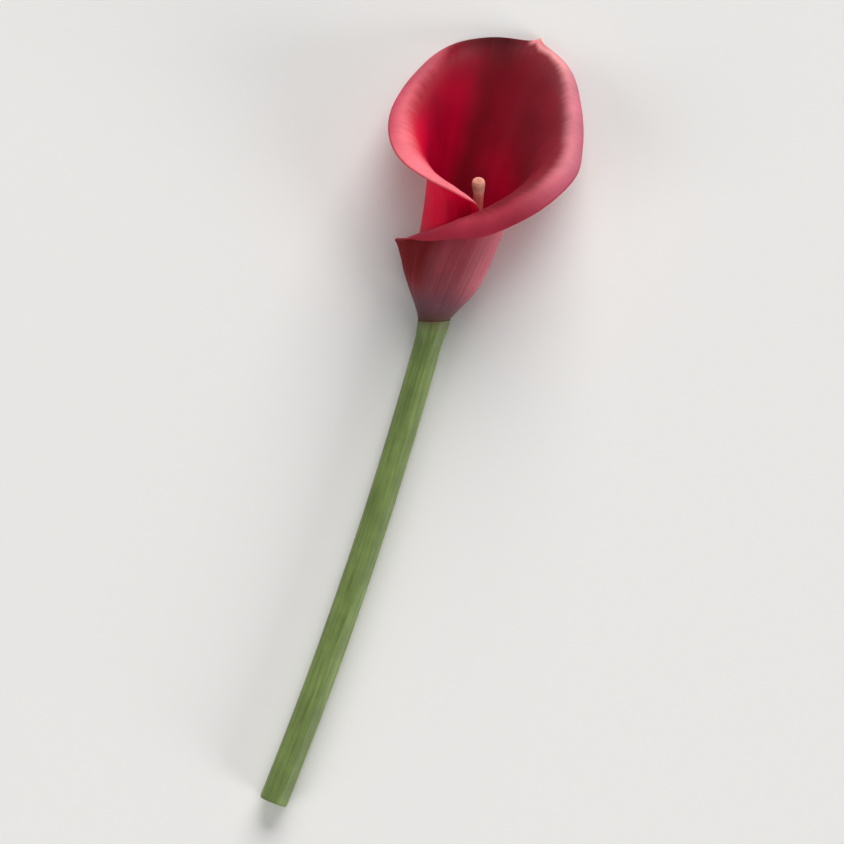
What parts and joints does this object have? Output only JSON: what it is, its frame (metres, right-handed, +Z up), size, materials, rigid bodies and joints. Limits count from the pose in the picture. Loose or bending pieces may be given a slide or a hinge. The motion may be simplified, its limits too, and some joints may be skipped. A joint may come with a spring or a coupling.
{
  "type": "arum lily flower",
  "caption": "Arum lily bloom lying on a table: a rolled crimson spathe with a flared, rolled-back rim, a slender spadix inside it, and a length of smooth cut stem.",
  "frame": {"origin": "middle of the footprint, on the surface the flower lies on", "axes": "+Z up from the surface; the stem points to -Y and the mouth of the bloom opens to +Y and upward; +X is to the bloom's right seen from above with the bloom at the top"},
  "size_m": [0.1176, 0.2808, 0.0423],
  "materials": {
    "stem": "smooth waxy green plant tissue",
    "spathe": "satin crimson petal tissue with a pink rim",
    "spadix": "matte apricot florets"
  },
  "bodies": {
    "root": {"stem": "stem", "spathe": "spathe", "spadix": "spadix"}
  },
  "joints": []
}
